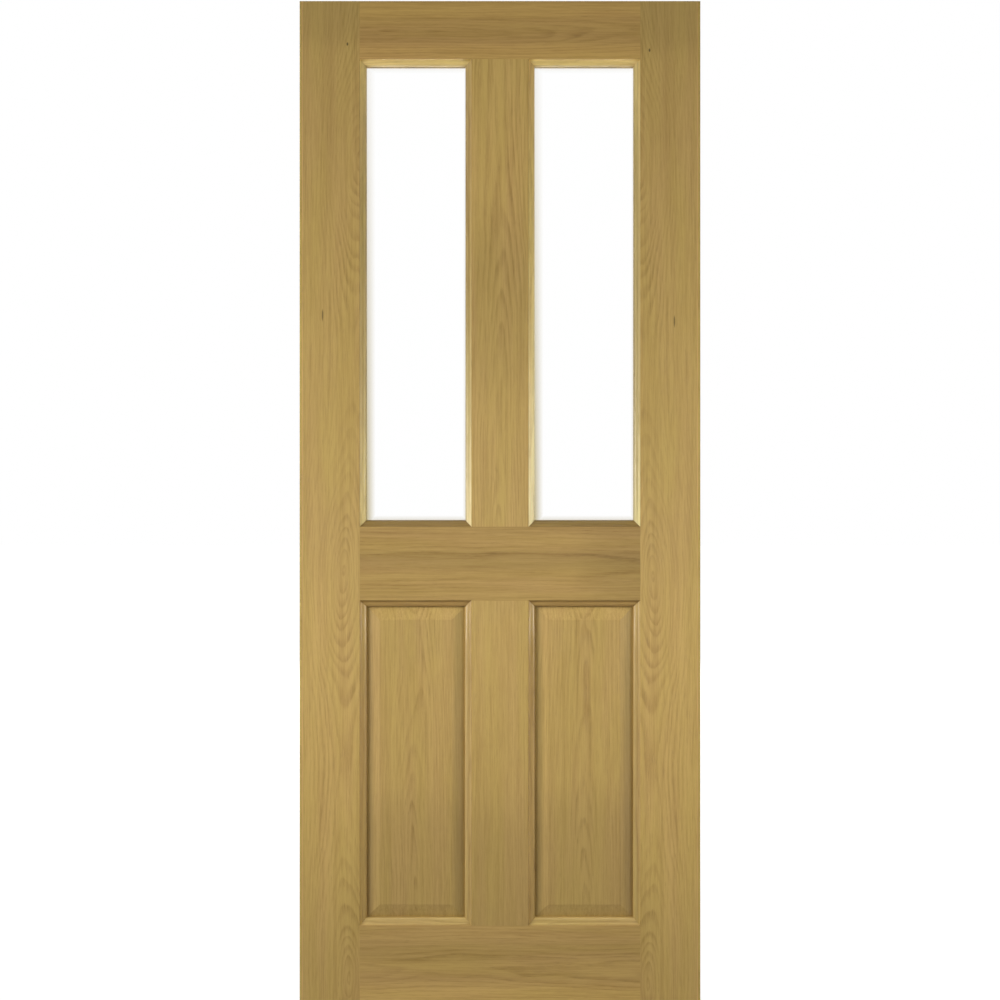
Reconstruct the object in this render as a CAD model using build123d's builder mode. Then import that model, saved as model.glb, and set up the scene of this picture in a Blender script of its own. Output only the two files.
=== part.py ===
from build123d import *
import os

# Glazed panel door: one leaf with two tall glass lights over two raised panels.
# The origin lies on the hinge edge, at the foot and at mid thickness. +X runs across
# the leaf, +Z up, and the front faces -Y. Sizes are in millimetres.

# Leaf
door_width = 813.0
door_height = 2032.0
door_thickness = 35.0
lipping_thickness = 6.5
arris = 1.0

# Framing members, as wide as they show on the face, and the height of the lower openings
stile_width = 122.0
muntin_width = 116.0
top_rail_width = 118.0
lock_rail_width = 150.0
bottom_rail_width = 156.5
panel_opening_height = 659.0

# Groove and tongue joints between the members
groove_depth = 12.0
tongue_end_gap = 0.5
tongue_fit = 0.1

# Raised and fielded panels, which float in the grooves
panel_edge_thickness = 7.0
panel_edge_fit = 0.2
panel_expansion_gap = 3.0
fielding_width = 27.0
fielding_rise = 7.5

# Glass
glass_thickness = 4.0
glass_edge_gap = 2.0

# Ogee beads, planted round both faces of each opening: a hollow beside the member, then a
# round that ends in a square nose
glazing_bead_width = 12.5
panel_bead_width = 13.5
bead_setback = 1.5
bead_flat = 0.5
bead_hollow_width = 5.0
bead_hollow_depth = 4.0
bead_nose = 3.0

os.makedirs("parts", exist_ok=True)

half_thickness = door_thickness / 2
groove_width = panel_edge_thickness + 2 * panel_edge_fit
tongue_thickness = groove_width - 2 * tongue_fit
tongue_length = groove_depth - tongue_end_gap

# Joint lines across the leaf and up it
left_joint = stile_width
right_joint = door_width - stile_width
muntin_left = (door_width - muntin_width) / 2
muntin_right = (door_width + muntin_width) / 2
bottom_joint = bottom_rail_width
lock_bottom = bottom_joint + panel_opening_height
lock_top = lock_bottom + lock_rail_width
top_joint = door_height - top_rail_width

# Each opening: left, right, bottom and top
openings = {
    "left_glass": (left_joint, muntin_left, lock_top, top_joint),
    "right_glass": (muntin_right, right_joint, lock_top, top_joint),
    "left_panel": (left_joint, muntin_left, bottom_joint, lock_bottom),
    "right_panel": (muntin_right, right_joint, bottom_joint, lock_bottom),
}


def front_plane(depth=0.0):
    """The plane across the leaf, depth in front of its middle, seen from the front."""
    return Plane(origin=(0, -depth, 0), x_dir=(1, 0, 0), z_dir=(0, -1, 0))


def rectangle(left, right, bottom, top, mode=Mode.ADD):
    """A rectangle between four lines, in the open sketch."""
    with Locations(((left + right) / 2, (bottom + top) / 2)):
        Rectangle(right - left, top - bottom, mode=mode)


def slab(left, right, bottom, top, thickness, mode=Mode.ADD):
    """A slab of one thickness about the middle of the leaf, in the open part."""
    with BuildSketch(front_plane()) as outline:
        rectangle(left, right, bottom, top)
    extrude(outline.sketch, amount=thickness / 2, both=True, mode=mode)


def finish(builder, name):
    """Label the finished piece and write it."""
    builder.part.label = name
    export_step(builder.part, f"parts/{name}.step")


# The leaf's faces: its outline and its four openings, with every arris eased.
# Each member takes its own share of it.
with BuildPart() as leaf_blank:
    with BuildSketch(front_plane(-half_thickness)):
        rectangle(0, door_width, 0, door_height)
        for edges in openings.values():
            rectangle(*edges, mode=Mode.SUBTRACT)
    extrude(amount=door_thickness)
    chamfer(leaf_blank.faces().filter_by(Axis.Y).edges(), arris)


def lipping(name, left, right):
    """A solid strip glued down a long edge of the leaf."""
    with BuildPart() as strip:
        slab(left, right, 0, door_height, door_thickness)
        add(leaf_blank.part, mode=Mode.INTERSECT)
    finish(strip, name)


def stile(name, left, right, inner_edge, inward):
    """An upright at the side, with one groove down its whole inner edge."""
    with BuildPart() as upright:
        slab(left, right, 0, door_height, door_thickness)
        add(leaf_blank.part, mode=Mode.INTERSECT)
        groove = sorted((inner_edge, inner_edge - inward * groove_depth))
        slab(*groove, 0, door_height, groove_width, mode=Mode.SUBTRACT)
    finish(upright, name)


def rail(name, bottom, top, grooved_edges):
    """A cross member, with a tongue in each stile and a groove in each edge that holds one."""
    with BuildPart() as cross:
        slab(left_joint, right_joint, bottom, top, door_thickness)
        add(leaf_blank.part, mode=Mode.INTERSECT)
        slab(left_joint - tongue_length, left_joint, bottom, top, tongue_thickness)
        slab(right_joint, right_joint + tongue_length, bottom, top, tongue_thickness)
        left, right = left_joint - groove_depth, right_joint + groove_depth
        if "bottom" in grooved_edges:
            slab(left, right, bottom, bottom + groove_depth, groove_width, mode=Mode.SUBTRACT)
        if "top" in grooved_edges:
            slab(left, right, top - groove_depth, top, groove_width, mode=Mode.SUBTRACT)
    finish(cross, name)


def muntin(name, bottom, top, grooved):
    """The upright between two openings, with a tongue in the rail above and below."""
    with BuildPart() as post:
        slab(muntin_left, muntin_right, bottom, top, door_thickness)
        add(leaf_blank.part, mode=Mode.INTERSECT)
        slab(muntin_left, muntin_right, bottom - tongue_length, bottom, tongue_thickness)
        slab(muntin_left, muntin_right, top, top + tongue_length, tongue_thickness)
        if grooved:
            low, high = bottom - groove_depth, top + groove_depth
            for left in (muntin_left, muntin_right - groove_depth):
                slab(left, left + groove_depth, low, high, groove_width, mode=Mode.SUBTRACT)
    finish(post, name)


def glass_pane(name, left, right, bottom, top):
    """A flat pane, clear of the members and held between the beads."""
    gap = glass_edge_gap
    with BuildPart() as pane:
        slab(left + gap, right - gap, bottom + gap, top - gap, glass_thickness)
    finish(pane, name)


def raised_panel(name, left, right, bottom, top):
    """A panel with a thin edge in the grooves, bevelled up to a raised field on each face."""
    reach = groove_depth - panel_expansion_gap
    edge_height = panel_edge_thickness / 2
    low, high = panel_bead_width, panel_bead_width + fielding_width
    with BuildPart() as panel:
        slab(left - reach, right + reach, bottom - reach, top + reach, panel_edge_thickness)
        with BuildSketch(front_plane(edge_height)):
            rectangle(left + low, right - low, bottom + low, top - low)
        with BuildSketch(front_plane(edge_height + fielding_rise)):
            rectangle(left + high, right - high, bottom + high, top - high)
        loft()
        mirror(about=Plane.XZ)
    finish(panel, name)


def mitred_bead(name, start, run, inward, length, width, back):
    """An ogee bead along one side of an opening, mitred at both ends.

    It runs from the corner start, and its back lies that far from the middle of the leaf.
    """
    face = half_thickness - bead_setback
    nose = back + bead_nose
    turn = bead_flat + bead_hollow_width
    with BuildPart() as bead:
        with BuildSketch(Plane(origin=start, x_dir=inward, z_dir=run)):
            with BuildLine():
                Polyline((bead_flat, face), (0, face), (0, back), (width, back), (width, nose))
                EllipticalCenterArc(
                    (turn, nose),
                    width - turn,
                    face - bead_hollow_depth - nose,
                    start_angle=0,
                    arc_size=90,
                )
                EllipticalCenterArc(
                    (turn, face),
                    bead_hollow_width,
                    bead_hollow_depth,
                    start_angle=180,
                    arc_size=90,
                )
            make_face()
        extrude(amount=length)
        split(bisect_by=Plane(origin=start, z_dir=run - inward))
        split(bisect_by=Plane(origin=start + run * length, z_dir=-run - inward))
    finish(bead, name)


def beads_round(opening, left, right, bottom, top):
    """Four mitred beads on the front of an opening and four on its rear."""
    glazed = opening.endswith("glass")
    width = glazing_bead_width if glazed else panel_bead_width
    back = (glass_thickness if glazed else panel_edge_thickness) / 2
    corners = {
        "bottom": Vector(left, 0, bottom),
        "right": Vector(right, 0, bottom),
        "top": Vector(right, 0, top),
        "left": Vector(left, 0, top),
    }
    sides = list(corners)
    for index, side in enumerate(sides):
        start = corners[side]
        end = corners[sides[(index + 1) % len(sides)]]
        run = (end - start).normalized()
        inward = run.rotate(Axis.Y, -90)
        length = (end - start).length
        mitred_bead(f"{opening}_front_{side}_bead", start, run, inward, length, width, back)
        mitred_bead(f"{opening}_rear_{side}_bead", end, -run, inward, length, width, back)


lipping("left_edge_lipping", 0, lipping_thickness)
lipping("right_edge_lipping", door_width - lipping_thickness, door_width)
stile("left_stile", lipping_thickness, left_joint, left_joint, 1)
stile("right_stile", right_joint, door_width - lipping_thickness, right_joint, -1)
rail("top_rail", top_joint, door_height, ["bottom"])
rail("lock_rail", lock_bottom, lock_top, ["bottom", "top"])
rail("bottom_rail", 0, bottom_joint, ["top"])
muntin("upper_muntin", lock_top, top_joint, grooved=False)
muntin("lower_muntin", bottom_joint, lock_bottom, grooved=True)

for opening, edges in openings.items():
    if opening.endswith("glass"):
        glass_pane(f"{opening}_pane", *edges)
    else:
        raised_panel(f"{opening.replace('panel', 'raised_panel')}", *edges)
    beads_round(opening, *edges)
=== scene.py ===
# Glazed panel door: oak finishes, moulded beads, clear glass and a plain studio,
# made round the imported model, which stands on the floor with its front facing -Y.
import math
from typing import NamedTuple

import bpy
from bpy.props import FloatProperty, FloatVectorProperty, IntProperty, PointerProperty
from mathutils import Matrix, Vector


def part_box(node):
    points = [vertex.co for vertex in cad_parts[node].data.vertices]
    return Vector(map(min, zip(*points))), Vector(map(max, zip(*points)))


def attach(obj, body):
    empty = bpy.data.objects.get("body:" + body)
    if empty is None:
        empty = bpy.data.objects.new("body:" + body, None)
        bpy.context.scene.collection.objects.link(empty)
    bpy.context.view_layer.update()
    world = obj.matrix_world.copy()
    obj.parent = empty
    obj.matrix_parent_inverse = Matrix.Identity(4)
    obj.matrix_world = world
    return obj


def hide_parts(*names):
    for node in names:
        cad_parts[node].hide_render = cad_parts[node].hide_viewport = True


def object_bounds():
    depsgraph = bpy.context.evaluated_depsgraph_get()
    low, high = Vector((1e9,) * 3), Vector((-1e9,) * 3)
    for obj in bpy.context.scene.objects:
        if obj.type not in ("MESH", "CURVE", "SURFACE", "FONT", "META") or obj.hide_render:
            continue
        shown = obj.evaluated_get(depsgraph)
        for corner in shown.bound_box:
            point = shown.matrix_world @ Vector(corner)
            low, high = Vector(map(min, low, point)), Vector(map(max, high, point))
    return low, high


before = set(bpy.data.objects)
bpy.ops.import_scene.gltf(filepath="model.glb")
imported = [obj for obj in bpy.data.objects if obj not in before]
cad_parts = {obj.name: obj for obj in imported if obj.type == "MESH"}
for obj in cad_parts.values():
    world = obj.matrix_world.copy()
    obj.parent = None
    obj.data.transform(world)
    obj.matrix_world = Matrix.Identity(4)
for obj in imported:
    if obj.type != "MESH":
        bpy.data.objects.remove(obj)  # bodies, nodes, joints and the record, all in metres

bl_info = {
    "name": "Glazed panel door",
    "version": (1, 0, 0),
    "blender": (4, 5, 0),
    "location": "View3D > Sidebar > Door",
    "description": "Oak finishes, moulded beads, glass and a studio for a glazed panel door",
    "category": "Object",
}

BODY = "root"
LEAF_LOW, LEAF_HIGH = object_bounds()
LEAF_WIDTH = LEAF_HIGH.x - LEAF_LOW.x
LEAF_HEIGHT = LEAF_HIGH.z - LEAF_LOW.z
HALF_THICKNESS = LEAF_HIGH.y


class Patch(NamedTuple):
    """An oval of lighter or darker colour that fades out towards its edge: a mark in the wood, or
    painted light and shade where it is noted so.
    """

    across: float  # its middle, from the axis of the board's figure
    along: float
    width: float
    length: float
    level: float  # how light it makes the colour at its middle, next to the rest


class Figure(NamedTuple):
    """How the grain of one board lies.

    The growth rings are shells round an axis that dips under the face and comes up again:
    closed ovals show where it is nearest, and pointed arches above and below them.
    """

    across: float  # where the axis lies across the board, in metres of X, or of Z on a rail
    along: float  # the middle of the ovals, in metres of Z, or of X on a rail
    period: float  # from one set of ovals to the next
    swing: float  # how deep the axis dips between them
    lean: float = 0.0  # how far it drifts across in one period
    bow: float = 0.0  # how far it curves across in one period
    tone: tuple = (1.0, 1.0, 1.0)  # how its colour differs from the finish
    contrast: float = 1.0
    seed: float = 0.0
    flip: bool = False  # the other leaf of a bookmatched pair
    turned: bool = False  # grain along X, as on a rail
    patches: tuple = ()


STILE = {
    "period": 0.83,
    "swing": 0.060,
    "lean": 0.011,
    "bow": 0.018,
    "contrast": 0.5,
    "seed": 2.0,
    "patches": (
        Patch(0.0075, 1.067, 0.005, 0.009, 0.25),  # a pin knot
        Patch(-0.043, 0.517, 0.004, 0.030, 0.40),  # a mineral streak
        # painted shade: darker towards the head of each stile
        Patch(-0.030, 1.155, 0.300, 0.240, 0.87),
        # painted light: lighter about half a metre up each stile
        Patch(-0.050, -0.350, 0.260, 0.880, 1.11),
    ),
}
PANEL = {
    "period": 1.7,
    "swing": 0.050,
    "contrast": 0.50,
    "patches": (
        # painted shade: darker towards the foot of each panel
        Patch(0.0, 0.20, 0.5, 0.36, 0.88),
        # painted shade: darker bands down the fielding beside the left and right beads, where the
        # beads shadow it
        Patch(0.091, 0.36, 0.030, 1.1, 0.80),
        Patch(-0.099, 0.36, 0.036, 1.3, 0.79),
    ),
}
FIGURES = {
    "left_stile": Figure(across=0.0896, along=0.8775, **STILE),
    "right_stile": Figure(across=0.7173, along=0.865, flip=True, **STILE),
    "upper_muntin": Figure(
        across=0.4030,
        along=0.82,
        period=2.4,
        swing=0.050,
        contrast=0.75,
        seed=11.0,
        patches=(Patch(0.0, 1.01, 0.4, 0.56, 1.12), Patch(0.0, 0.575, 0.4, 0.4, 0.91)),
    ),
    "lower_muntin": Figure(
        across=0.2600,
        along=-0.6,
        period=3.0,
        swing=0.030,
        contrast=0.25,
        seed=17.0,
        # painted shade: darker towards its foot
        patches=(Patch(0.147, 0.808, 0.4, 0.5, 0.87),),
    ),
    "top_rail": Figure(
        across=1.9710,
        along=0.226,
        period=1.2,
        swing=0.022,
        tone=(0.93, 0.875, 0.85),
        contrast=0.7,
        seed=23.0,
        turned=True,
        patches=(
            Patch(-0.042, 0.18, 0.04, 1.6, 1.12),
            Patch(0.007, 0.18, 0.04, 1.6, 0.96),
            Patch(0.047, 0.18, 0.05, 1.6, 1.16),
        ),
    ),
    "lock_rail": Figure(
        across=0.8900,
        along=-1.1,
        period=3.0,
        swing=0.055,
        tone=(0.88, 0.845, 0.83),
        contrast=0.55,
        seed=31.0,
        turned=True,
        patches=(
            Patch(-0.008, 1.507, 0.05, 1.6, 0.87),
            Patch(-0.068, 1.507, 0.03, 1.6, 0.95),
            Patch(0.0, 1.80, 0.30, 0.34, 0.86),
        ),
    ),
    "bottom_rail": Figure(
        across=0.0700,
        along=-1.1,
        period=3.0,
        swing=0.045,
        tone=(0.95, 0.93, 0.94),
        contrast=0.5,
        seed=37.0,
        turned=True,
        patches=(Patch(-0.037, 1.507, 0.06, 1.6, 0.93), Patch(0.058, 1.507, 0.07, 1.6, 1.16)),
    ),
    "left_raised_panel": Figure(across=0.2330, along=0.08, seed=41.0, **PANEL),
    "right_raised_panel": Figure(across=0.5790, along=0.08, seed=47.0, **PANEL),
}

# How many cells each of the oak's noises has in a metre across the board, into it and along it
STRAY_CELLS = (9.0, 9.0, 2.4)  # rings that stray from a true shell
WOBBLE_CELLS = (70.0, 70.0, 8.0)  # unevenness of one ring line
PATCHY_CELLS = (24.0, 24.0, 3.6)  # places where the ring lines fade
DASH_CELLS = (320.0, 320.0, 22.0)  # breaks in a ring line
FIBRE_CELLS = (420.0, 420.0, 14.0)
STREAK_CELLS = (130.0, 130.0, 2.6)
PORE_CELLS = (1500.0, 1500.0, 52.0)
BROAD_CELLS = (5.0, 5.0, 1.2)  # the board's broad changes of tone
WARMTH_CELLS = (30.0, 30.0, 3.0)
UNEVEN_CELLS = 0.37  # cells of unevenness in one year's growth
UNEVEN_YEARS = 2.2  # how far unevenness moves a ring line, in years
PORE_COVER = 0.55  # how strongly a pore's colour shows
COOL_HUE = (0.99, 1.006, 0.95, 1.0)
WARM_HUE = (1.01, 0.994, 1.05, 1.0)
LACQUER_SHINE = 0.35  # the lacquer's specular level
LIPPING_HEART = 0.03  # how far the axis of a lipping's figure lies into the leaf, in metres
GLUE_LINE = (0.0010, 0.0025)  # how far from a lipping's joint its glue line starts and stops fading


class OakFinish(bpy.types.PropertyGroup):
    """Lacquered oak."""

    light: FloatVectorProperty(
        name="Light wood",
        description="Colour of the wood between the ring lines",
        subtype="COLOR",
        size=4,
        default=(0.520, 0.350, 0.108, 1.0),
        min=0.0,
        max=1.0,
    )
    dark: FloatVectorProperty(
        name="Ring lines",
        description="Colour of the porous lines of early wood",
        subtype="COLOR",
        size=4,
        default=(0.335, 0.203, 0.053, 1.0),
        min=0.0,
        max=1.0,
    )
    pore: FloatVectorProperty(
        name="Pores",
        description="Colour inside the open pores",
        subtype="COLOR",
        size=4,
        default=(0.190, 0.108, 0.026, 1.0),
        min=0.0,
        max=1.0,
    )
    glue_tone: FloatVectorProperty(
        name="Glue line tone",
        description="How the colour differs along the joint between a lipping and its stile",
        size=4,
        default=(1.24, 1.09, 1.60, 1.0),
    )
    lipping_tone: FloatVectorProperty(
        name="Lipping tone",
        description="How the lippings' colour differs from the boards'",
        default=(1.0, 1.06, 0.88),
    )
    bead_tone: FloatVectorProperty(
        name="Bead tone",
        description="How the beads' colour differs from the boards'",
        default=(1.0, 1.02, 1.10),
    )
    ring_width: FloatProperty(
        name="Ring width",
        description="Thickness of one year's growth",
        unit="LENGTH",
        default=0.0060,
        min=0.001,
    )
    warp: FloatProperty(
        name="Warp",
        description="How far the rings stray from a true shell",
        unit="LENGTH",
        default=0.018,
    )
    wobble: FloatProperty(
        name="Wobble",
        description="Fine unevenness of a ring line",
        unit="LENGTH",
        default=0.0022,
    )
    gloss_roughness: FloatProperty(
        name="Lacquer roughness",
        description="Roughness of the satin lacquer between the pores",
        default=0.45,
        min=0.0,
        max=1.0,
    )
    bead_polish: FloatProperty(
        name="Bead polish",
        description="How much smoother the lacquer is on the beads",
        default=1.4,
        min=1.0,
    )
    pore_depth: FloatProperty(
        name="Pore depth",
        description="How deep the open pores look",
        unit="LENGTH",
        default=0.00025,
    )


class BeadMoulding(bpy.types.PropertyGroup):
    """The ogee bead's section, apart from its width and depth, which the model gives."""

    flat: FloatProperty(
        name="Flat", description="Flat strip beside the member", unit="LENGTH", default=0.0005
    )
    hollow_width: FloatProperty(
        name="Hollow width", description="Width of the hollow", unit="LENGTH", default=0.005
    )
    hollow_depth: FloatProperty(
        name="Hollow depth", description="Depth of the hollow", unit="LENGTH", default=0.004
    )
    nose: FloatProperty(
        name="Nose", description="Height of the square edge at the glass", unit="LENGTH", default=0.003
    )
    ease: FloatProperty(
        name="Ease", description="Rounding of the bead's corners", unit="LENGTH", default=0.0004
    )
    curve_steps: IntProperty(
        name="Curve steps", description="Facets in the hollow, and in the round", default=10, min=3
    )


class GlassFinish(bpy.types.PropertyGroup):
    """Clear float glass."""

    tint: FloatVectorProperty(
        name="Tint",
        description="Colour of the light that the pane lets through",
        subtype="COLOR",
        size=4,
        default=(0.998, 1.0, 0.999, 1.0),
        min=0.0,
        max=1.0,
    )
    refraction: FloatProperty(
        name="Refraction", description="Index of refraction", default=1.5, min=1.0
    )
    # Painted shade: the beads' soft shade tinted into the glass along each pane's edges, strongest at
    # the left and fading towards the head
    painted_edge_shade: FloatVectorProperty(
        name="Bloom",
        description="Colour of the faint bloom of lacquer along the pane's edges",
        subtype="COLOR",
        size=4,
        default=(0.51, 0.43, 0.23, 1.0),
        min=0.0,
        max=1.0,
    )
    painted_edge_shade_reach: FloatVectorProperty(
        name="Bloom reach",
        description="How far the bloom comes in from the beads at the left, right, bottom and top",
        unit="LENGTH",
        size=4,
        default=(0.018, 0.006, 0.010, 0.012),
    )
    painted_edge_shade_strength: FloatVectorProperty(
        name="Bloom strength",
        description="How strong the bloom is at those four beads",
        size=4,
        default=(1.0, 0.30, 0.40, 1.0),
    )
    painted_edge_shade_at_head: FloatProperty(
        name="Bloom at the head",
        description="How much of the bloom is left at the top of the pane",
        default=0.22,
        min=0.0,
        max=1.0,
    )


class StudioSetup(bpy.types.PropertyGroup):
    """The camera, the lamps and the floor."""

    distance: FloatProperty(
        name="Camera distance",
        description="From the camera to the front of the leaf",
        unit="LENGTH",
        default=2.6,
    )
    eye_height: FloatProperty(
        name="Eye height", description="Height of the camera", unit="LENGTH", default=1.127
    )
    view_width: FloatProperty(
        name="View width",
        description="Width that the picture takes in at the front of the leaf",
        unit="LENGTH",
        default=2.0282,
    )
    view_top: FloatProperty(
        name="View top",
        description="Height of the picture's top edge above the head of the leaf",
        unit="LENGTH",
        default=0.0018,
    )
    key_power: FloatProperty(
        name="Key power", description="Wide lamp on the left", unit="POWER", default=31.0
    )
    fill_power: FloatProperty(
        name="Fill power", description="Wide lamp on the right", unit="POWER", default=16.5
    )
    top_power: FloatProperty(
        name="Top power", description="High lamp above the camera", unit="POWER", default=0.8
    )
    front_power: FloatProperty(
        name="Front power", description="Low lamp under the camera", unit="POWER", default=0.4
    )
    back_power: FloatProperty(
        name="Back power", description="Low lamp behind the leaf", unit="POWER", default=2.0
    )
    rear_power: FloatProperty(
        name="Rear power", description="Wide lamp that faces the rear", unit="POWER", default=90.0
    )
    gloss_power: FloatProperty(
        name="Gloss power",
        description="Low lamp on each side that only shines on the lacquer",
        unit="POWER",
        default=15.0,
    )
    ambient: FloatProperty(
        name="Ambient", description="Strength of the soft light from all round", default=0.12
    )
    floor_colour: FloatVectorProperty(
        name="Floor colour",
        description="Colour of the plain floor",
        subtype="COLOR",
        size=4,
        default=(0.35, 0.35, 0.35, 1.0),
        min=0.0,
        max=1.0,
    )


class Graph:
    """Adds nodes to a tree.

    The calls that work something out return its socket. node and noise return the node, and
    split returns all three sockets.
    """

    def __init__(self, tree):
        self.tree = tree

    def node(self, kind, **settings):
        node = self.tree.nodes.new(kind)
        for name, value in settings.items():
            setattr(node, name, value)
        return node

    def put(self, socket, value):
        """Feeds a socket from another one, or sets its value."""
        if isinstance(value, bpy.types.NodeSocket):
            self.tree.links.new(value, socket)
        else:
            socket.default_value = value

    def feed(self, node, *values, **named):
        for socket, value in zip(node.inputs, values):
            self.put(socket, value)
        for name, value in named.items():
            self.put(node.inputs[name.replace("_", " ")], value)
        return node.outputs[0] if node.outputs else None

    def math(self, operation, *values, clamp=False):
        kind = "ShaderNodeMath"
        return self.feed(self.node(kind, operation=operation, use_clamp=clamp), *values)

    def vector(self, operation, *values):
        return self.feed(self.node("ShaderNodeVectorMath", operation=operation), *values)

    def split(self, vector):
        node = self.node("ShaderNodeSeparateXYZ")
        self.put(node.inputs[0], vector)
        return node.outputs[:]

    def join(self, x=0.0, y=0.0, z=0.0):
        return self.feed(self.node("ShaderNodeCombineXYZ"), x, y, z)

    def remap(self, value, low, high, to_low=0.0, to_high=1.0, smooth=True):
        """Carries a value from one range to another, and holds it at the range's ends."""
        node = self.node("ShaderNodeMapRange")
        node.interpolation_type = "SMOOTHSTEP" if smooth else "LINEAR"
        return self.feed(node, value, low, high, to_low, to_high)

    def either_way(self, value, reach):
        """Turns 0 to 1 into minus to plus a reach."""
        return self.remap(value, 0, 1, -reach, reach, smooth=False)

    def noise(self, place, cells, seed, detail=2.0, roughness=0.5):
        """Noise from 0 to 1, with so many cells a metre across, into and along the board."""
        node = self.node("ShaderNodeTexNoise", noise_dimensions="4D")
        stretched = self.vector("MULTIPLY", place, cells)
        self.feed(node, Vector=stretched, W=seed, Scale=1.0, Detail=detail, Roughness=roughness)
        return node

    def mix(self, factor, first, second, blend="MIX"):
        node = self.node("ShaderNodeMix", data_type="RGBA", blend_type=blend)
        for name, value in (("Factor_Float", factor), ("A_Color", first), ("B_Color", second)):
            self.put(next(s for s in node.inputs if s.identifier == name), value)
        return next(s for s in node.outputs if s.identifier == "Result_Color")


def group_sockets(tree, inputs, outputs):
    """Declares a node group's sockets, from (name, kind, default) and (name, kind)."""
    for name, kind, default in inputs:
        socket = tree.interface.new_socket(name, in_out="INPUT", socket_type=kind)
        if default is not None:
            socket.default_value = default
    for name, kind in outputs:
        tree.interface.new_socket(name, in_out="OUTPUT", socket_type=kind)


def ring_distance(g, given, oak):
    """How far a place lies from the axis of the rings, in all and across the board alone."""
    place, seed = given["Place"], given["Seed"]
    across, depth, along = g.split(place)

    # How far off the axis lies there across the board, and how deep
    turn = g.math("DIVIDE", along, given["Period"])
    sway = g.math("MULTIPLY", turn, g.math("MULTIPLY_ADD", turn, given["Bow"], given["Lean"]))
    wave = g.math("ABSOLUTE", g.math("SINE", g.math("MULTIPLY", turn, math.pi)))
    dip = g.math("MULTIPLY", wave, given["Swing"])
    inside = g.math("SUBTRACT", g.math("ABSOLUTE", depth), given["Face"])
    coarse = g.noise(place, STRAY_CELLS, seed)
    stray_across, stray_deep, _ = g.split(coarse.outputs["Color"])
    offset = g.math("SUBTRACT", across, sway)
    offset = g.math("ADD", offset, g.either_way(stray_across, oak.warp))
    deep = g.math("ADD", dip, inside)
    deep = g.math("ADD", deep, g.either_way(stray_deep, oak.warp))
    radius = g.math("SQRT", g.math("MULTIPLY_ADD", offset, offset, g.math("MULTIPLY", deep, deep)))
    fine = g.noise(place, WOBBLE_CELLS, seed, detail=3.0).outputs["Fac"]
    radius = g.math("ADD", radius, g.either_way(fine, oak.wobble))
    return radius, offset


def ring_lines(g, given, oak):
    """The lines of early wood: sharp on one side, fading on the other, and unevenly spaced."""
    place, seed = given["Place"], given["Seed"]
    radius, offset = ring_distance(g, given, oak)
    rings = g.math("DIVIDE", radius, oak.ring_width)
    years = g.join(x=g.math("MULTIPLY", rings, UNEVEN_CELLS))
    uneven = g.noise(years, (1.0, 1.0, 1.0), seed).outputs["Fac"]
    rings = g.math("MULTIPLY_ADD", uneven, UNEVEN_YEARS, rings)
    phase = g.math("FRACT", rings)
    rise = g.remap(phase, 0.10, 0.80)
    fall = g.remap(phase, 0.82, 1.0, 1.0, 0.0)
    line = g.math("MULTIPLY", g.math("POWER", rise, 1.8), fall)
    patchy = g.noise(place, PATCHY_CELLS, seed).outputs["Fac"]
    line = g.math("MULTIPLY", line, g.remap(patchy, 0.30, 0.65, 0.2, 1.0))

    # Lines that run steeply into the face show less, and all are broken
    slant = g.math("DIVIDE", g.math("ABSOLUTE", offset), radius)
    line = g.math("MULTIPLY", line, g.remap(slant, 0.35, 1.0, 1.0, 0.45))
    dash = g.noise(place, DASH_CELLS, seed).outputs["Fac"]
    return g.math("MULTIPLY", line, g.remap(dash, 0.35, 0.6, 0.55, 1.0))


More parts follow.
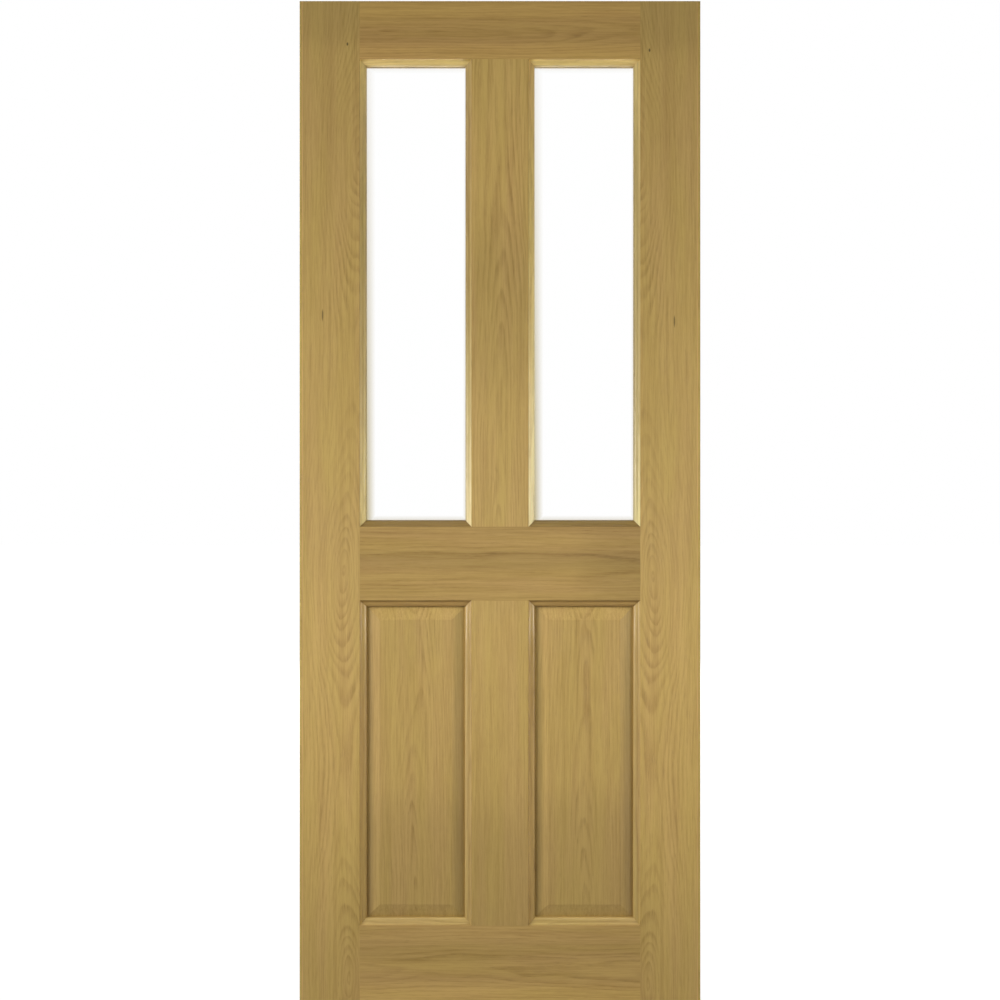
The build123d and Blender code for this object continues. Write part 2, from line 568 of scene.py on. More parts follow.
def oak_group(oak):
    """The oak pattern: colour, height and roughness from a place in the board's own axes."""
    tree = bpy.data.node_groups.get("Oak figure")
    if tree:
        return tree
    tree = bpy.data.node_groups.new("Oak figure", "ShaderNodeTree")
    number, colour = "NodeSocketFloat", "NodeSocketColor"
    group_sockets(
        tree,
        [
            ("Place", "NodeSocketVector", None),
            ("Face", number, HALF_THICKNESS),
            ("Period", number, 1.0),
            ("Swing", number, 0.05),
            ("Lean", number, 0.0),
            ("Bow", number, 0.0),
            ("Tone", "NodeSocketVector", (1.0, 1.0, 1.0)),
            ("Contrast", number, 1.0),
            ("Seed", number, 0.0),
        ],
        [("Color", colour), ("Height", number), ("Roughness", number)],
    )
    g = Graph(tree)
    given = g.node("NodeGroupInput").outputs
    place, seed = given["Place"], given["Seed"]
    line = ring_lines(g, given, oak)

    # Fibres, streaks, pores and the board's broad changes of tone
    fibre = g.noise(place, FIBRE_CELLS, seed, detail=4.0, roughness=0.7).outputs["Fac"]
    streak = g.noise(place, STREAK_CELLS, seed, detail=1.0).outputs["Fac"]
    speck = g.noise(place, PORE_CELLS, seed, detail=1.0).outputs["Fac"]
    crowd = g.math("MULTIPLY_ADD", line, 0.75, 0.25)
    pore = g.math("MULTIPLY", g.remap(speck, 0.56, 0.70), crowd)
    broad = g.noise(place, BROAD_CELLS, seed).outputs["Fac"]
    shade = g.math("MULTIPLY", line, given["Contrast"])
    shade = g.math("ADD", shade, g.remap(fibre, 0.25, 0.75, -0.35, 0.45, smooth=False))
    shade = g.math("ADD", shade, g.remap(streak, 0.25, 0.75, -0.18, 0.22, smooth=False))
    shade = g.math("ADD", shade, g.remap(broad, 0.3, 0.7, 0.0, 0.22, smooth=False), clamp=True)

    # The colour, from light wood to ring lines to pores, a little warmer or cooler by place
    wood = g.mix(shade, tuple(oak.light), tuple(oak.dark))
    wood = g.mix(g.math("MULTIPLY", pore, PORE_COVER), wood, tuple(oak.pore))
    warm = g.noise(place, WARMTH_CELLS, seed, detail=1.0).outputs["Fac"]
    hue = g.mix(g.remap(warm, 0.3, 0.7), COOL_HUE, WARM_HUE)
    wood = g.mix(1.0, wood, hue, blend="MULTIPLY")
    wood = g.mix(1.0, wood, given["Tone"], blend="MULTIPLY")

    # Pores are the deepest and the roughest, and ring lines lie a little low
    height = g.math("MULTIPLY_ADD", pore, -1.0, g.math("MULTIPLY", line, -0.12))
    height = g.math("MULTIPLY_ADD", fibre, 0.15, height)
    rough = g.math("MULTIPLY_ADD", pore, 0.25, oak.gloss_roughness)
    g.feed(g.node("NodeGroupOutput"), wood, height, rough)
    return tree


def material(name):
    """A new material, its graph and its shader."""
    made = bpy.data.materials.new(name)
    made.use_nodes = True
    graph = Graph(made.node_tree)
    return made, graph, made.node_tree.nodes["Principled BSDF"]


def oak_shader(graph, shader, oak, place, tones=(), polish=1.0, **figure):
    """Finishes a shader in lacquered oak, from a place in the board's own axes.

    Each tone is how strongly a change of colour shows there, and that change. A polish
    above 1 makes the lacquer smoother.
    """
    pattern = graph.node("ShaderNodeGroup", node_tree=oak_group(oak))
    graph.feed(pattern, Place=place, **figure)
    bump = graph.node("ShaderNodeBump")
    graph.feed(bump, Strength=1.0, Distance=oak.pore_depth, Height=pattern.outputs["Height"])
    wood = pattern.outputs["Color"]
    for strength, tone in tones:
        wood = graph.mix(strength, wood, tone, blend="MULTIPLY")
    graph.put(shader.inputs["Base Color"], wood)
    rough = graph.math("DIVIDE", pattern.outputs["Roughness"], polish)
    graph.put(shader.inputs["Roughness"], rough)
    graph.put(shader.inputs["Normal"], bump.outputs[0])
    shader.inputs["Specular IOR Level"].default_value = LACQUER_SHINE


def patch_tone(graph, place, patch):
    """How strongly a patch shows at a place on its board, and its change of colour."""
    x, _, z = graph.split(place)
    x = graph.math("DIVIDE", graph.math("SUBTRACT", x, patch.across), patch.width / 2)
    z = graph.math("DIVIDE", graph.math("SUBTRACT", z, patch.along), patch.length / 2)
    far = graph.math("MULTIPLY_ADD", x, x, graph.math("MULTIPLY", z, z))
    strength = graph.remap(far, 0.1, 1.0, 1.0, 0.0)
    return strength, (patch.level, patch.level, patch.level, 1.0)


def board_oak(name, figure, oak):
    """Oak for one board, with the pattern turned along it and centred on its figure."""
    made, graph, shader = material(name)
    place = graph.node("ShaderNodeMapping")
    graph.put(place.inputs["Vector"], graph.node("ShaderNodeTexCoord").outputs["Object"])
    if figure.turned:
        place.inputs["Rotation"].default_value = (0.0, -math.pi / 2, 0.0)
        place.inputs["Location"].default_value = (figure.across, 0.0, -figure.along)
    elif figure.flip:
        place.inputs["Scale"].default_value = (-1.0, 1.0, 1.0)
        place.inputs["Location"].default_value = (figure.across, 0.0, -figure.along)
    else:
        place.inputs["Location"].default_value = (-figure.across, 0.0, -figure.along)
    on_board = place.outputs[0]
    oak_shader(
        graph,
        shader,
        oak,
        on_board,
        tones=[patch_tone(graph, on_board, patch) for patch in figure.patches],
        Period=figure.period,
        Swing=figure.swing,
        Lean=figure.lean,
        Bow=figure.bow,
        Tone=figure.tone,
        Contrast=figure.contrast,
        Seed=figure.seed,
    )
    return made


def finish_node(node, made):
    """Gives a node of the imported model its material."""
    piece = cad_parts[node]
    if not piece.material_slots:
        piece.data.materials.append(made)
    for slot in piece.material_slots:
        slot.material = made


def finish_boards(names, oak):
    """Gives each of these boards oak with its own figure."""
    for node in names:
        title = node.replace("_", " ").capitalize() + " oak"
        finish_node(node, board_oak(title, FIGURES[node], oak))


class DOOR_OT_uprights(bpy.types.Operator):
    """Finish the stiles and muntins in upright oak"""

    bl_idname = "door.uprights"
    bl_label = "Stiles and muntins"

    def execute(self, context):
        names = ("left_stile", "right_stile", "upper_muntin", "lower_muntin")
        finish_boards(names, context.scene.door_oak)
        return {"FINISHED"}


class DOOR_OT_rails(bpy.types.Operator):
    """Finish the three rails in oak with its grain across the leaf"""

    bl_idname = "door.rails"
    bl_label = "Rails"

    def execute(self, context):
        finish_boards(("top_rail", "lock_rail", "bottom_rail"), context.scene.door_oak)
        return {"FINISHED"}


class DOOR_OT_panels(bpy.types.Operator):
    """Finish the two raised panels in oak with arched figure"""

    bl_idname = "door.panels"
    bl_label = "Raised panels"

    def execute(self, context):
        finish_boards(("left_raised_panel", "right_raised_panel"), context.scene.door_oak)
        return {"FINISHED"}


class DOOR_OT_lippings(bpy.types.Operator):
    """Finish the solid strips on the two long edges"""

    bl_idname = "door.lippings"
    bl_label = "Edge lippings"

    def execute(self, context):
        oak = context.scene.door_oak
        for node in ("left_edge_lipping", "right_edge_lipping"):
            low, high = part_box(node)
            middle = (low.x + high.x) / 2
            made, graph, shader = material(node.replace("_", " ").capitalize() + " oak")
            here = graph.node("ShaderNodeTexCoord").outputs["Object"]
            place = graph.node("ShaderNodeMapping")
            graph.put(place.inputs["Vector"], here)
            place.inputs["Rotation"].default_value = (0.0, 0.0, math.pi / 2)
            place.inputs["Location"].default_value = (LIPPING_HEART, -middle, 0.0)
            joint = high.x if middle < LEAF_WIDTH / 2 else low.x
            gap = graph.math("ABSOLUTE", graph.math("SUBTRACT", graph.split(here)[0], joint))
            oak_shader(
                graph,
                shader,
                oak,
                place.outputs[0],
                tones=[(graph.remap(gap, *GLUE_LINE, 1.0, 0.0), tuple(oak.glue_tone))],
                Face=0.0,
                Period=3.0,
                Swing=0.05,
                Tone=oak.lipping_tone,
                Contrast=0.6,
                Seed=53.0 + low.x,
            )
            finish_node(node, made)
        return {"FINISHED"}


class Bead(NamedTuple):
    """Where one bead runs, from its node's box."""

    start: Vector
    run: Vector
    inward: Vector
    length: float
    width: float
    back: float
    face: float


class BeadPaintedLight(NamedTuple):
    """The painted light and shade on one bead: how its colour differs from the finish."""

    # All of these are painted light and shade: the middle as the bead is lit, towards the foot and
    # head of an upright bead, and a painted shade along the glass or panel
    middle: tuple = (1.0, 1.0, 1.0)
    foot: tuple = (1.0, 1.0, 1.0)  # how the foot of an upright bead differs from its middle
    head: tuple = (1.0, 1.0, 1.0)  # and how its head does
    edge: float = 1.0  # how light it is along the glass or panel


# Painted light and shade on the beads, lighter or darker than the rest as each is lit: by node, or by
# what both sides' nodes share
BEAD_PAINTED_LIGHT = {
    "glass_front_top_bead": BeadPaintedLight((1.85, 2.04, 2.18), edge=0.72),
    "left_glass_front_left_bead": BeadPaintedLight(
        (1.03, 1.06, 0.94), foot=(1.65, 1.88, 2.5), head=(1.67, 1.8, 2.25), edge=0.90
    ),
    "left_glass_front_right_bead": BeadPaintedLight(
        (0.84, 0.81, 0.65), foot=(2.0, 2.55, 4.9), head=(1.29, 1.40, 2.05), edge=0.72
    ),
    "right_glass_front_left_bead": BeadPaintedLight(
        (1.70, 1.90, 1.75), foot=(1.26, 1.40, 2.6), head=(0.92, 0.83, 0.90), edge=0.90
    ),
    "right_glass_front_right_bead": BeadPaintedLight(
        (0.88, 0.93, 0.90), foot=(1.84, 2.15, 3.25), head=(1.76, 1.88, 2.3), edge=0.72
    ),
    "glass_front_bottom_bead": BeadPaintedLight((0.50, 0.465, 0.33), edge=0.85),
    "panel_front_top_bead": BeadPaintedLight((0.75, 0.68, 0.53)),
    "panel_front_left_bead": BeadPaintedLight((1.05, 1.0, 0.90), edge=0.80),
    "panel_front_bottom_bead": BeadPaintedLight((1.09, 1.12, 1.10)),
}
BEAD_STEPS = 7  # stretches in each bead's run, over which its painted light and shade change
END_FALLOFF = 3.0  # how fast the painted light and shade of an end fade along the run, as a power
EDGE_SHADE = (0.0015, 0.0035)  # how far from the glass a bead's painted shade along its edge starts and stops fading
FIRST_CUT = 0.1  # where the first bead is cut from its length of oak, in metres
CUT_STEP = 0.031  # and how much further on each next one is
CUT_ALONG = 7.0  # how many times further along the grain that is than across it
MERGE_REACH = 1e-6  # points this near are one, in metres
# The way that the bead on each side of an opening runs, and the way from it into the opening
SIDES = {
    "bottom": (Vector((1, 0, 0)), Vector((0, 0, 1))),
    "right": (Vector((0, 0, 1)), Vector((-1, 0, 0))),
    "top": (Vector((-1, 0, 0)), Vector((0, 0, -1))),
    "left": (Vector((0, 0, -1)), Vector((1, 0, 0))),
}


def bead_from_box(node):
    """Reads a bead's run, section and place from its node's name and box."""
    low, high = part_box(node)
    side, face = node.split("_")[-2], node.split("_")[-3]
    run, inward = SIDES[side]
    if face == "rear":
        run = -run
    start = Vector((0.0, 0.0, 0.0))
    for direction in (run, inward):
        for axis in (0, 2):
            if direction[axis] > 0.5:
                start[axis] = low[axis]
            elif direction[axis] < -0.5:
                start[axis] = high[axis]
    size = high - low
    reach = sorted((abs(low.y), abs(high.y)))
    return Bead(start, run, inward, abs(run.dot(size)), abs(inward.dot(size)), *reach)


def bead_section(g, given):
    """The ogee's outline as a filled face: the round, then the hollow, then three square corners."""
    width, back, face = (given[k] for k in ("Width", "Back", "Face"))
    hollow_width, hollow_depth = given["Hollow width"], given["Hollow depth"]
    steps = given["Curve steps"]
    ledge = g.math("ADD", back, given["Nose"])
    turn = g.math("ADD", given["Flat"], hollow_width)
    shelf = g.math("SUBTRACT", face, hollow_depth)
    index = g.node("GeometryNodeInputIndex").outputs[0]
    angle = g.math("MULTIPLY", g.math("DIVIDE", index, steps), math.pi / 2)
    cosine, sine = g.math("COSINE", angle), g.math("SINE", angle)
    rounded = g.join(
        g.math("MULTIPLY_ADD", cosine, g.math("SUBTRACT", width, turn), turn),
        g.math("MULTIPLY_ADD", sine, g.math("SUBTRACT", shelf, ledge), ledge),
    )
    hollow = g.join(
        g.math("MULTIPLY_ADD", cosine, hollow_width, turn),
        g.math("MULTIPLY_ADD", g.math("MULTIPLY", sine, -1.0), hollow_depth, face),
    )
    corners = g.node("GeometryNodeIndexSwitch", data_type="VECTOR")
    places = [(0.0, face), (0.0, back), (width, back)]
    while len(corners.index_switch_items) < len(places):
        corners.index_switch_items.new()
    both_curves = g.math("MULTIPLY", steps, 2)
    g.put(corners.inputs["Index"], g.math("SUBTRACT", index, g.math("ADD", both_curves, 1)))
    for socket, (x, y) in zip(list(corners.inputs)[1:], places):
        g.put(socket, g.join(x, y))
    place = corners.outputs[0]
    for last, curve in ((both_curves, hollow), (steps, rounded)):
        within = g.node("FunctionNodeCompare", data_type="INT", operation="LESS_EQUAL")
        for side, value in (("A_INT", index), ("B_INT", last)):
            g.put(next(s for s in within.inputs if s.identifier == side), value)
        pick = g.node("GeometryNodeSwitch", input_type="VECTOR")
        place = g.feed(pick, within.outputs[0], place, curve)
    points = g.node("GeometryNodePoints")
    g.put(points.inputs["Count"], g.math("ADD", both_curves, 1 + len(places)))
    g.put(points.inputs["Position"], place)
    outline = g.feed(g.node("GeometryNodePointsToCurves"), points.outputs[0])
    outline = g.feed(g.node("GeometryNodeSetSplineCyclic"), outline, True, True)
    filled = g.node("GeometryNodeFillCurve", mode="NGONS")
    g.put(filled.inputs["Curve"], outline)
    return filled.outputs[0]


def mitred_run(g, section, length):
    """The section run out in even steps along +Z, closed at its foot and mitred at both ends."""
    step = g.math("DIVIDE", length, float(BEAD_STEPS))
    run, top = section, True
    for _ in range(BEAD_STEPS):
        extrude = g.node("GeometryNodeExtrudeMesh", mode="FACES")
        g.feed(extrude, Mesh=run, Selection=top, Offset=(0.0, 0.0, 1.0), Offset_Scale=step)
        g.put(extrude.inputs["Individual"], False)
        run, top = extrude.outputs["Mesh"], extrude.outputs["Top"]
    foot = g.feed(g.node("GeometryNodeFlipFaces"), section)
    both = g.node("GeometryNodeJoinGeometry")
    for part in (run, foot):
        g.tree.links.new(part, both.inputs[0])
    merge = g.node("GeometryNodeMergeByDistance")
    g.feed(merge, Geometry=both.outputs[0], Distance=MERGE_REACH)

    # Each end is drawn in by its distance from the member
    here = g.node("GeometryNodeInputPosition").outputs[0]
    inward, _, along = g.split(here)
    half_step = g.math("MULTIPLY", step, 0.5)
    near = g.math("LESS_THAN", along, half_step)
    far = g.math("GREATER_THAN", along, g.math("SUBTRACT", length, half_step))
    slope = g.math("SUBTRACT", near, far)
    shift = g.node("GeometryNodeSetPosition")
    g.put(shift.inputs["Geometry"], merge.outputs[0])
    g.put(shift.inputs["Offset"], g.join(z=g.math("MULTIPLY", inward, slope)))
    return shift.outputs[0]


def bead_attributes(g, given, shape):
    """Where each point lies in the bead's own timber, and how its colour differs there, with the
    bead's painted light and shade.
    """
    here = g.node("GeometryNodeInputPosition").outputs[0]
    inward, _, along = g.split(here)
    cut = g.join(given["Cut"], given["Cut"], g.math("MULTIPLY", given["Cut"], CUT_ALONG))
    # The bead's tone carries its painted light and shade: in the middle and towards each end of the
    # run
    tone = given["Tone"]
    travelled = g.math("DIVIDE", along, given["Length"])
    left_over = g.math("SUBTRACT", 1.0, travelled)
    for end, nearness in (("Start tone", left_over), ("End tone", travelled)):
        share = g.math("POWER", g.math("MAXIMUM", nearness, 0.0), END_FALLOFF)
        tone = g.mix(share, tone, g.vector("MULTIPLY", tone, given[end]))
    # Painted shade along the bead's edge at the glass or panel
    gap = g.math("SUBTRACT", given["Width"], inward)
    level = g.remap(gap, *EDGE_SHADE, given["Edge level"], 1.0)
    tone = g.vector("MULTIPLY", tone, g.join(level, level, level))
    for name, value in (("grain", g.vector("ADD", here, cut)), ("tone", tone)):
        store = g.node("GeometryNodeStoreNamedAttribute", data_type="FLOAT_VECTOR", domain="POINT")
        shape = g.feed(store, Geometry=shape, Name=name)
        g.put(next(s for s in store.inputs if s.name == "Value" and s.type == "VECTOR"), value)
    return shape


def bead_tree(moulding):
    """Geometry Nodes for one mitred bead, lying along +Z with its section in X and Y."""
    tree = bpy.data.node_groups.get("Mitred ogee bead")
    if tree:
        return tree
    tree = bpy.data.node_groups.new("Mitred ogee bead", "GeometryNodeTree")
    number, vector = "NodeSocketFloat", "NodeSocketVector"
    unchanged = (1.0, 1.0, 1.0)
    group_sockets(
        tree,
        [
            ("Length", number, 1.0),
            ("Width", number, 0.0125),
            ("Back", number, 0.002),
            ("Face", number, 0.016),
            ("Flat", number, moulding.flat),
            ("Hollow width", number, moulding.hollow_width),
            ("Hollow depth", number, moulding.hollow_depth),
            ("Nose", number, moulding.nose),
            ("Curve steps", "NodeSocketInt", moulding.curve_steps),
            ("Cut", number, 0.0),
            # Tone carries the bead's colour together with its painted light and shade
            ("Tone", vector, unchanged),
            ("Start tone", vector, unchanged),
            ("End tone", vector, unchanged),
            ("Edge level", number, 1.0),
            ("Finish", "NodeSocketMaterial", None),
        ],
        [("Geometry", "NodeSocketGeometry")],
    )
    g = Graph(tree)
    given = g.node("NodeGroupInput").outputs
    shape = mitred_run(g, bead_section(g, given), given["Length"])
    shape = bead_attributes(g, given, shape)
    real = g.feed(g.node("GeometryNodeRealizeInstances"), shape)
    finish = g.node("GeometryNodeSetMaterial")
    g.feed(finish, Geometry=real, Material=given["Finish"])
    g.put(g.node("NodeGroupOutput").inputs[0], finish.outputs[0])
    return tree


def apply_tree(name, tree, values):
    """Runs a Geometry Nodes tree with these inputs and returns the result as a plain mesh."""
    holder = bpy.data.objects.new(name + "_holder", bpy.data.meshes.new(name + "_seed"))
    bpy.context.scene.collection.objects.link(holder)
    modifier = holder.modifiers.new("Shape", "NODES")
    modifier.node_group = tree
    sockets = {s.name: s.identifier for s in tree.interface.items_tree if s.in_out == "INPUT"}
    for title, value in values.items():
        modifier[sockets[title]] = value
    graph = bpy.context.evaluated_depsgraph_get()
    mesh = bpy.data.meshes.new_from_object(holder.evaluated_get(graph), depsgraph=graph)
    holder.modifiers.remove(modifier)
    bpy.data.objects.remove(holder)
    mesh.name = name
    return mesh


def ease_corners(piece, width, angle=math.radians(30)):
    """Rounds a piece's hard corners, and shades the rest of it smooth."""
    bevel = piece.modifiers.new("Ease", "BEVEL")
    bevel.width = width
    bevel.segments = 2
    bevel.limit_method = "ANGLE"
    bevel.angle_limit = angle
    bevel.harden_normals = False
    graph = bpy.context.evaluated_depsgraph_get()
    eased = bpy.data.meshes.new_from_object(piece.evaluated_get(graph), depsgraph=graph)
    piece.modifiers.remove(bevel)
    piece.data = eased
    for polygon in eased.polygons:
        polygon.use_smooth = True
    eased.set_sharp_from_angle(angle=angle)


def bead_oak(oak):
    """Oak that follows each bead's own length."""
    made, graph, shader = material("Bead oak")
    grain = graph.node("ShaderNodeAttribute", attribute_name="grain")
    oak_shader(
        graph,
        shader,
        oak,
        grain.outputs["Vector"],
        Face=0.0,
        Period=2.4,
        Swing=0.03,
        # The tone attribute carries each bead's painted light and shade
        Tone=graph.node("ShaderNodeAttribute", attribute_name="tone").outputs["Vector"],
        Contrast=0.55,
        Seed=61.0,
        polish=oak.bead_polish,
    )
    return made


class DOOR_OT_beads(bpy.types.Operator):
    """Run a mitred ogee bead along each side of each opening, front and rear"""

    bl_idname = "door.beads"
    bl_label = "Ogee beads"

    def execute(self, context):
        moulding = context.scene.door_bead
        oak = context.scene.door_oak
        tree = bead_tree(moulding)
        finish = bead_oak(oak)
        nodes = sorted(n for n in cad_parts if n.endswith("_bead"))
        if not nodes:
            raise RuntimeError("the packed model has no beads")
        for index, node in enumerate(nodes):
            bead = bead_from_box(node)
            # Each bead's painted light and shade, by node or by the name that both sides share
            shared = BEAD_PAINTED_LIGHT.get(node.split("_", 1)[1], BeadPaintedLight())
            tone = BEAD_PAINTED_LIGHT.get(node, shared)
            ends = (tone.foot, tone.head) if bead.run.z > 0.5 else (tone.head, tone.foot)
            values = {
                "Length": bead.length,
                "Width": bead.width,
                "Back": bead.back,
                "Face": bead.face,
                "Cut": FIRST_CUT + CUT_STEP * index,
                "Tone": Vector(tone.middle) * Vector(oak.bead_tone),
                "Start tone": Vector(ends[0]),
                "End tone": Vector(ends[1]),
                "Edge level": tone.edge,
                "Finish": finish,
            }
            name = node.replace("_bead", "_ogee")
            mesh = apply_tree(name, tree, values)
            outward = bead.run.cross(bead.inward)
            turn = Matrix((bead.inward, outward, bead.run)).transposed().to_4x4()
            mesh.transform(Matrix.Translation(bead.start) @ turn)
            piece = bpy.data.objects.new(name, mesh)
            context.scene.collection.objects.link(piece)
            ease_corners(piece, moulding.ease)
            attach(piece, BODY)
            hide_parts(node)
        return {"FINISHED"}


FILM_CELLS = (3.0, 3.0, 3.0)  # cells a metre of the faint film on the glass
FILM_SEED = 5.0
FILM_ROUGHNESS = 0.02


def glass_painted_shade(graph, light, glass):
    """How strongly the painted shade shows: it fades inward from the beads round one light."""
    x, _, z = graph.split(graph.node("ShaderNodeTexCoord").outputs["Object"])
    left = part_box(light + "_front_left_bead")[1].x
    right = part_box(light + "_front_right_bead")[0].x
    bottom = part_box(light + "_front_bottom_bead")[1].z
    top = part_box(light + "_front_top_bead")[0].z
    edges = ((x, left, 1), (x, right, -1), (z, bottom, 1), (z, top, -1))
    painted_edge_shade = 0.0
    for (place, edge, inward), reach, strength in zip(edges, glass.painted_edge_shade_reach, glass.painted_edge_shade_strength):
        fade = graph.remap(place, edge, edge + inward * reach, strength, 0.0, smooth=False)
        painted_edge_shade = graph.math("MAXIMUM", painted_edge_shade, fade)
    height = graph.remap(z, bottom, top, 1.0, glass.painted_edge_shade_at_head, smooth=False)
    return graph.math("MULTIPLY", painted_edge_shade, height)


def pane_glass(light, glass):
    """Clear glass for one light, with painted shade along its edges."""
    made, graph, shader = material(light.replace("_", " ").capitalize())
    # The pane's tint, darkened towards the beads by painted shade
    tint = graph.mix(glass_painted_shade(graph, light, glass), tuple(glass.tint), tuple(glass.painted_edge_shade))
    graph.put(shader.inputs["Base Color"], tint)
    shader.inputs["Transmission Weight"].default_value = 1.0
    shader.inputs["IOR"].default_value = glass.refraction
    place = graph.node("ShaderNodeTexCoord").outputs["Object"]
    film = graph.noise(place, FILM_CELLS, FILM_SEED, detail=4.0).outputs["Fac"]
    graph.put(shader.inputs["Roughness"], graph.remap(film, 0.35, 0.75, 0.0, FILM_ROUGHNESS))

    # Light passes straight through the pane to the wood round it
    path = graph.node("ShaderNodeLightPath").outputs
    straight = graph.math("MAXIMUM", path["Is Shadow Ray"], path["Is Diffuse Ray"])
    clear = graph.node("ShaderNodeBsdfTransparent")
    graph.put(clear.inputs["Color"], tint)
    mix = graph.node("ShaderNodeMixShader")
    graph.feed(mix, straight, shader.outputs[0], clear.outputs[0])
    graph.put(made.node_tree.nodes["Material Output"].inputs["Surface"], mix.outputs[0])
    return made


class DOOR_OT_glass(bpy.types.Operator):
    """Finish the two panes in clear glass"""

    bl_idname = "door.glass"
    bl_label = "Glass panes"

    def execute(self, context):
        for light in ("left_glass", "right_glass"):
            finish_node(light + "_pane", pane_glass(light, context.scene.door_glass))
        return {"FINISHED"}


class Lamp(NamedTuple):
    """A soft lamp, with its place and aim in metres from the foot of the leaf's middle."""

    power: str  # which of the studio's powers it has
    place: tuple
    aim: tuple
    size: tuple
    spread: float  # in degrees
    unseen: tuple = ()  # the kinds of ray that miss it


FLOOR_REACH = 12.0  # how far the floor runs out from the leaf, in metres
GLOW_REACH = (0.5, 1.6)  # where the floor's own white starts and stops rising, in metres
GLOW_AT_LEAF = 0.82  # how white it is before it rises
WIDE = ("glossy", "transmission")  # a lamp that lights the wood and shows in no gloss
SHINE = ("diffuse", "transmission")  # a lamp that shows in the gloss alone
LAMPS = {
    "key": Lamp("key_power", (-4.3, -2.5, 2.0), (0.3, 0.0, 1.0), (2.6, 1.2), 64, WIDE),
    "key_gloss": Lamp("gloss_power", (-4.3, -2.5, 0.76), (0.3, 0.0, 1.0), (0.5, 0.4), 64, SHINE),
    "fill": Lamp("fill_power", (4.3, -2.5, 2.0), (-0.3, 0.0, 1.0), (2.6, 1.2), 64, WIDE),
    "fill_gloss": Lamp("gloss_power", (4.3, -2.5, 0.76), (-0.3, 0.0, 1.0), (0.5, 0.4), 64, SHINE),
    "top": Lamp("top_power", (0.0, -1.6, 2.95), (0.0, 0.0, 0.6), (1.5, 0.8), 30),
    "front": Lamp("front_power", (0.0, -2.6, 0.8), (0.0, 0.0, 0.8), (1.2, 0.6), 32, WIDE),
    "back": Lamp("back_power", (0.0, 0.7, 0.1), (0.0, 0.0, LEAF_HEIGHT), (1.4, 0.3), 40),
    "rear": Lamp("rear_power", (0.0, 4.0, 1.5), (0.0, 0.0, 1.0), (3.0, 2.0), 180, ("camera", *WIDE)),
}


def soft_lamp(name, lamp, power):
    """Sets up a lamp and turns it towards its aim."""
    light = bpy.data.lights.new(name, "AREA")
    light.shape = "RECTANGLE"
    light.size, light.size_y = lamp.size
    light.energy = power
    light.spread = math.radians(lamp.spread)
    stand = bpy.data.objects.new(name, light)
    middle = Vector((LEAF_WIDTH / 2, 0.0, 0.0))
    place, aim = Vector(lamp.place) + middle, Vector(lamp.aim) + middle
    stand.location = place
    stand.rotation_euler = (aim - place).to_track_quat("-Z", "Y").to_euler()
    for ray in lamp.unseen:
        setattr(stand, "visible_" + ray, False)
    bpy.context.scene.collection.objects.link(stand)


def seen_white(graph):
    """1 for the rays that see the background: from the camera, in a gloss or through glass."""
    path = graph.node("ShaderNodeLightPath").outputs
    seen = graph.math("MAXIMUM", path["Is Camera Ray"], path["Is Glossy Ray"])
    return graph.math("MAXIMUM", seen, path["Is Transmission Ray"])


def studio_world(ambient):
    """A white background over an even, softer light."""
    world = bpy.data.worlds.new("Studio")
    world.use_nodes = True
    bpy.context.scene.world = world
    graph = Graph(world.node_tree)
    strength = graph.remap(seen_white(graph), 0.0, 1.0, ambient, 1.0, smooth=False)
    back = world.node_tree.nodes["Background"]
    back.inputs["Color"].default_value = (1.0, 1.0, 1.0, 1.0)
    graph.put(back.inputs["Strength"], strength)


def floor_material(colour):
    """A pale floor that looks white away from the leaf, and keeps its shadow."""
    made, graph, shader = material("Studio floor")
    shader.inputs["Base Color"].default_value = colour
    shader.inputs["Roughness"].default_value = 0.9
    shader.inputs["Specular IOR Level"].default_value = 0.0
    place = graph.node("ShaderNodeTexCoord").outputs["Object"]
    away = graph.node("ShaderNodeVectorMath", operation="LENGTH")
    graph.put(away.inputs[0], place)
    level = graph.remap(away.outputs["Value"], *GLOW_REACH, GLOW_AT_LEAF, 1.0)
    glow = graph.node("ShaderNodeEmission")
    graph.put(glow.inputs["Strength"], graph.math("MULTIPLY", seen_white(graph), level))
    both = graph.node("ShaderNodeAddShader")
    graph.feed(both, shader.outputs[0], glow.outputs[0])
    graph.put(made.node_tree.nodes["Material Output"].inputs["Surface"], both.outputs[0])
    return made


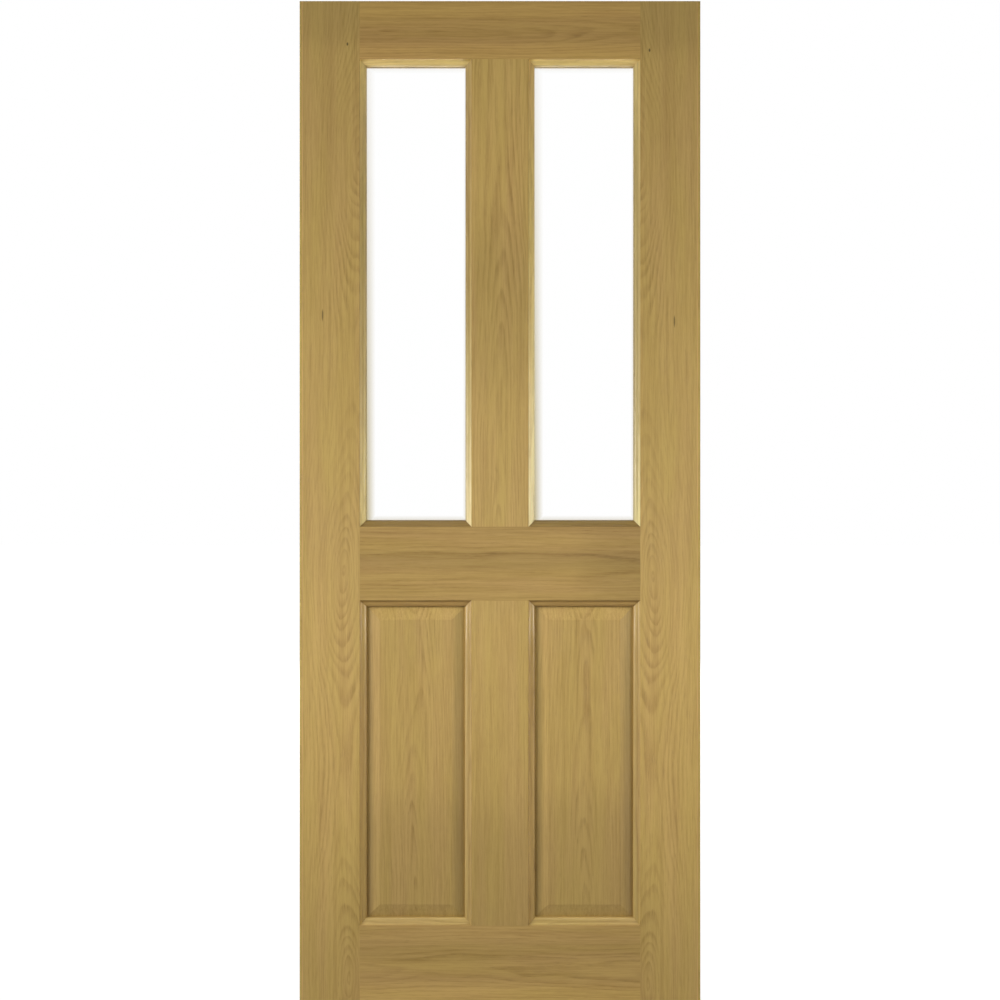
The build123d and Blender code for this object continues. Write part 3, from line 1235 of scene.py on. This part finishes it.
class DOOR_OT_stage(bpy.types.Operator):
    """Set up the floor, the lamps and the camera"""

    bl_idname = "door.stage"
    bl_label = "Studio"

    def execute(self, context):
        studio = context.scene.door_studio
        middle = LEAF_WIDTH / 2

        mesh = bpy.data.meshes.new("studio_floor")
        corners = [(x * FLOOR_REACH, y * FLOOR_REACH) for x, y in ((-1, -1), (1, -1), (1, 1), (-1, 1))]
        mesh.from_pydata([(x + middle, y, LEAF_LOW.z) for x, y in corners], [], [(0, 1, 2, 3)])
        mesh.materials.append(floor_material(studio.floor_colour))
        floor = bpy.data.objects.new("studio_floor", mesh)
        context.scene.collection.objects.link(floor)

        studio_world(studio.ambient)
        for name, lamp in LAMPS.items():
            soft_lamp(name, lamp, getattr(studio, lamp.power))

        lens = bpy.data.cameras.new("camera")
        lens.lens = lens.sensor_width * studio.distance / studio.view_width
        picture_middle = LEAF_HEIGHT + studio.view_top - studio.view_width / 2
        lens.shift_y = (picture_middle - studio.eye_height) / studio.view_width
        camera = bpy.data.objects.new("camera", lens)
        camera.location = (middle, LEAF_LOW.y - studio.distance, studio.eye_height)
        camera.rotation_euler = (math.pi / 2, 0.0, 0.0)
        context.scene.collection.objects.link(camera)
        context.scene.camera = camera
        context.scene.view_settings.view_transform = "Standard"
        return {"FINISHED"}


OPERATORS = (
    DOOR_OT_stage,
    DOOR_OT_uprights,
    DOOR_OT_rails,
    DOOR_OT_panels,
    DOOR_OT_lippings,
    DOOR_OT_beads,
    DOOR_OT_glass,
)
SETTINGS = {
    "door_oak": OakFinish,
    "door_bead": BeadMoulding,
    "door_glass": GlassFinish,
    "door_studio": StudioSetup,
}


class DOOR_PT_sidebar(bpy.types.Panel):
    """The door's steps and settings"""

    bl_idname = "DOOR_PT_sidebar"
    bl_label = "Glazed panel door"
    bl_space_type = "VIEW_3D"
    bl_region_type = "UI"
    bl_category = "Door"

    def draw(self, context):
        for operator in OPERATORS:
            self.layout.operator(operator.bl_idname)
        for name, group in SETTINGS.items():
            box = self.layout.box()
            for title in group.__annotations__:
                box.prop(getattr(context.scene, name), title)


def register():
    for kind in (*SETTINGS.values(), *OPERATORS, DOOR_PT_sidebar):
        bpy.utils.register_class(kind)
    for name, group in SETTINGS.items():
        setattr(bpy.types.Scene, name, PointerProperty(type=group))


def unregister():
    for name in SETTINGS:
        delattr(bpy.types.Scene, name)
    for kind in reversed((*SETTINGS.values(), *OPERATORS, DOOR_PT_sidebar)):
        bpy.utils.unregister_class(kind)


def main():
    """Makes the whole scene."""
    register()
    for operator in OPERATORS:
        group, name = operator.bl_idname.split(".")
        getattr(getattr(bpy.ops, group), name)()


if __name__ == "__main__":
    main()
